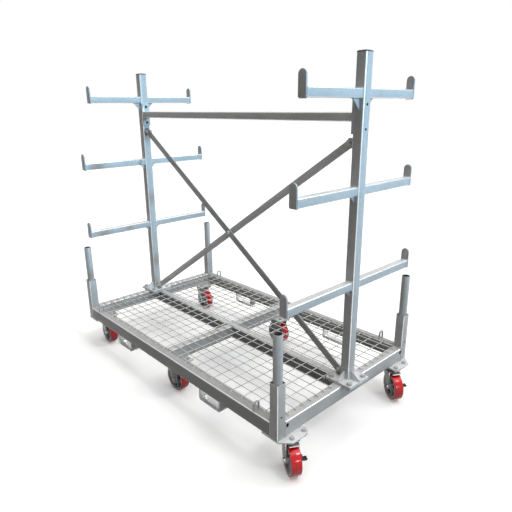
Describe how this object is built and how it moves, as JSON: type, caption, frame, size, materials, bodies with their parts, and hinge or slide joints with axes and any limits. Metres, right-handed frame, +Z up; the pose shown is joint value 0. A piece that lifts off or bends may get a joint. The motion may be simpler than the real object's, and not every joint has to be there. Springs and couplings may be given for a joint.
{
  "type": "pipe trolley",
  "caption": "Galvanised pipe trolley: a weld-mesh deck on braked swivel castors, with lift-out corner stanchions and two braced posts whose hooked arms carry lengths of pipe.",
  "frame": {"origin": "on the floor under the middle of the deck frame", "axes": "+X along the trolley towards its right end, +Y across it towards the rear, +Z up"},
  "size_m": [1.9414, 1.04, 1.78],
  "materials": {
    "galvanised": "hot-dip galvanised, satin, with a soft mottle",
    "castor_zinc": "bright zinc plate on pressed steel",
    "tread": "red polyurethane, satin",
    "rim": "cast, dark grey",
    "cap": "moulded, black",
    "lever": "black coated pressing"
  },
  "bodies": {
    "frame": {"arm_gussets": "galvanised", "brace_cleats": "galvanised", "castor_pads": "galvanised", "centre_cross_beam": "galvanised", "corner_sockets": "galvanised", "end_rails": "galvanised", "fixed_forks": "castor_zinc", "foot_pads": "galvanised", "fork_pockets": "galvanised", "front_brace": "galvanised", "hook_plates": "galvanised", "lashing_hoops": "galvanised", "left_arms": "galvanised", "left_mesh_panel": "galvanised", "left_post": "galvanised", "post_caps": "cap", "post_feet": "galvanised", "rear_brace": "galvanised", "right_arms": "galvanised", "right_mesh_panel": "galvanised", "right_post": "galvanised", "side_rails": "galvanised", "spine_beams": "galvanised", "swivel_plates": "castor_zinc", "top_rail": "galvanised", "top_rail_end_plates": "galvanised"},
    "front_left_swivel": {"swivel_fork_front_left": "castor_zinc"},
    "front_left_wheel": {"wheel_rim_front_left": "rim", "wheel_tread_front_left": "tread"},
    "front_left_brake": {"brake_lever_front_left": "lever"},
    "front_left_stanchion": {"stanchion_front_left": "galvanised"},
    "front_right_swivel": {"swivel_fork_front_right": "castor_zinc"},
    "front_right_wheel": {"wheel_rim_front_right": "rim", "wheel_tread_front_right": "tread"},
    "front_right_brake": {"brake_lever_front_right": "lever"},
    "front_right_stanchion": {"stanchion_front_right": "galvanised"},
    "rear_left_swivel": {"swivel_fork_rear_left": "castor_zinc"},
    "rear_left_wheel": {"wheel_rim_rear_left": "rim", "wheel_tread_rear_left": "tread"},
    "rear_left_brake": {"brake_lever_rear_left": "lever"},
    "rear_left_stanchion": {"stanchion_rear_left": "galvanised"},
    "rear_right_swivel": {"swivel_fork_rear_right": "castor_zinc"},
    "rear_right_wheel": {"wheel_rim_rear_right": "rim", "wheel_tread_rear_right": "tread"},
    "rear_right_brake": {"brake_lever_rear_right": "lever"},
    "rear_right_stanchion": {"stanchion_rear_right": "galvanised"},
    "front_middle_wheel": {"wheel_rim_front_middle": "rim", "wheel_tread_front_middle": "tread"},
    "rear_middle_wheel": {"wheel_rim_rear_middle": "rim", "wheel_tread_rear_middle": "tread"}
  },
  "joints": [
    {"name": "front_left_swivel_turn", "type": "hinge", "parent": "frame", "child": "front_left_swivel", "pos_m": [-0.875, -0.418, 0.161], "axis": [0, 0, 1], "continuous": true},
    {"name": "front_left_wheel_roll", "type": "hinge", "parent": "front_left_swivel", "child": "front_left_wheel", "pos_m": [-0.83011, -0.42114, 0.075], "axis": [0.0698, 0.9976, 0], "continuous": true},
    {"name": "front_left_brake_press", "type": "hinge", "parent": "front_left_swivel", "child": "front_left_brake", "pos_m": [-0.83011, -0.42114, 0.075], "axis": [0.0698, 0.9976, 0], "range_deg": [0, 50]},
    {"name": "front_left_stanchion_lift", "type": "slide", "parent": "frame", "child": "front_left_stanchion", "axis": [0, 0, 1], "range_m": [0, 0.275]},
    {"name": "front_right_swivel_turn", "type": "hinge", "parent": "frame", "child": "front_right_swivel", "pos_m": [0.875, -0.418, 0.161], "axis": [0, 0, 1], "continuous": true},
    {"name": "front_right_wheel_roll", "type": "hinge", "parent": "front_right_swivel", "child": "front_right_wheel", "pos_m": [0.91397, -0.4405, 0.075], "axis": [0.5, 0.866, 0], "continuous": true},
    {"name": "front_right_brake_press", "type": "hinge", "parent": "front_right_swivel", "child": "front_right_brake", "pos_m": [0.91397, -0.4405, 0.075], "axis": [0.5, 0.866, 0], "range_deg": [0, 50]},
    {"name": "front_right_stanchion_lift", "type": "slide", "parent": "frame", "child": "front_right_stanchion", "axis": [0, 0, 1], "range_m": [0, 0.275]},
    {"name": "rear_left_swivel_turn", "type": "hinge", "parent": "frame", "child": "rear_left_swivel", "pos_m": [-0.875, 0.418, 0.161], "axis": [0, 0, 1], "continuous": true},
    {"name": "rear_left_wheel_roll", "type": "hinge", "parent": "rear_left_swivel", "child": "rear_left_wheel", "pos_m": [-0.83017, 0.41408, 0.075], "axis": [0.0872, 0.9962, 0], "continuous": true},
    {"name": "rear_left_brake_press", "type": "hinge", "parent": "rear_left_swivel", "child": "rear_left_brake", "pos_m": [-0.83017, 0.41408, 0.075], "axis": [0.0872, 0.9962, 0], "range_deg": [0, 50]},
    {"name": "rear_left_stanchion_lift", "type": "slide", "parent": "frame", "child": "rear_left_stanchion", "axis": [0, 0, 1], "range_m": [0, 0.275]},
    {"name": "rear_right_swivel_turn", "type": "hinge", "parent": "frame", "child": "rear_right_swivel", "pos_m": [0.875, 0.418, 0.161], "axis": [0, 0, 1], "continuous": true},
    {"name": "rear_right_wheel_roll", "type": "hinge", "parent": "rear_right_swivel", "child": "rear_right_wheel", "pos_m": [0.91274, 0.39349, 0.075], "axis": [0.5446, 0.8387, 0], "continuous": true},
    {"name": "rear_right_brake_press", "type": "hinge", "parent": "rear_right_swivel", "child": "rear_right_brake", "pos_m": [0.91274, 0.39349, 0.075], "axis": [0.5446, 0.8387, 0], "range_deg": [0, 50]},
    {"name": "rear_right_stanchion_lift", "type": "slide", "parent": "frame", "child": "rear_right_stanchion", "axis": [0, 0, 1], "range_m": [0, 0.275]},
    {"name": "front_middle_wheel_roll", "type": "hinge", "parent": "frame", "child": "front_middle_wheel", "pos_m": [0, -0.418, 0.075], "axis": [0, 1, 0], "continuous": true},
    {"name": "rear_middle_wheel_roll", "type": "hinge", "parent": "frame", "child": "rear_middle_wheel", "pos_m": [0, 0.418, 0.075], "axis": [0, 1, 0], "continuous": true}
  ]
}
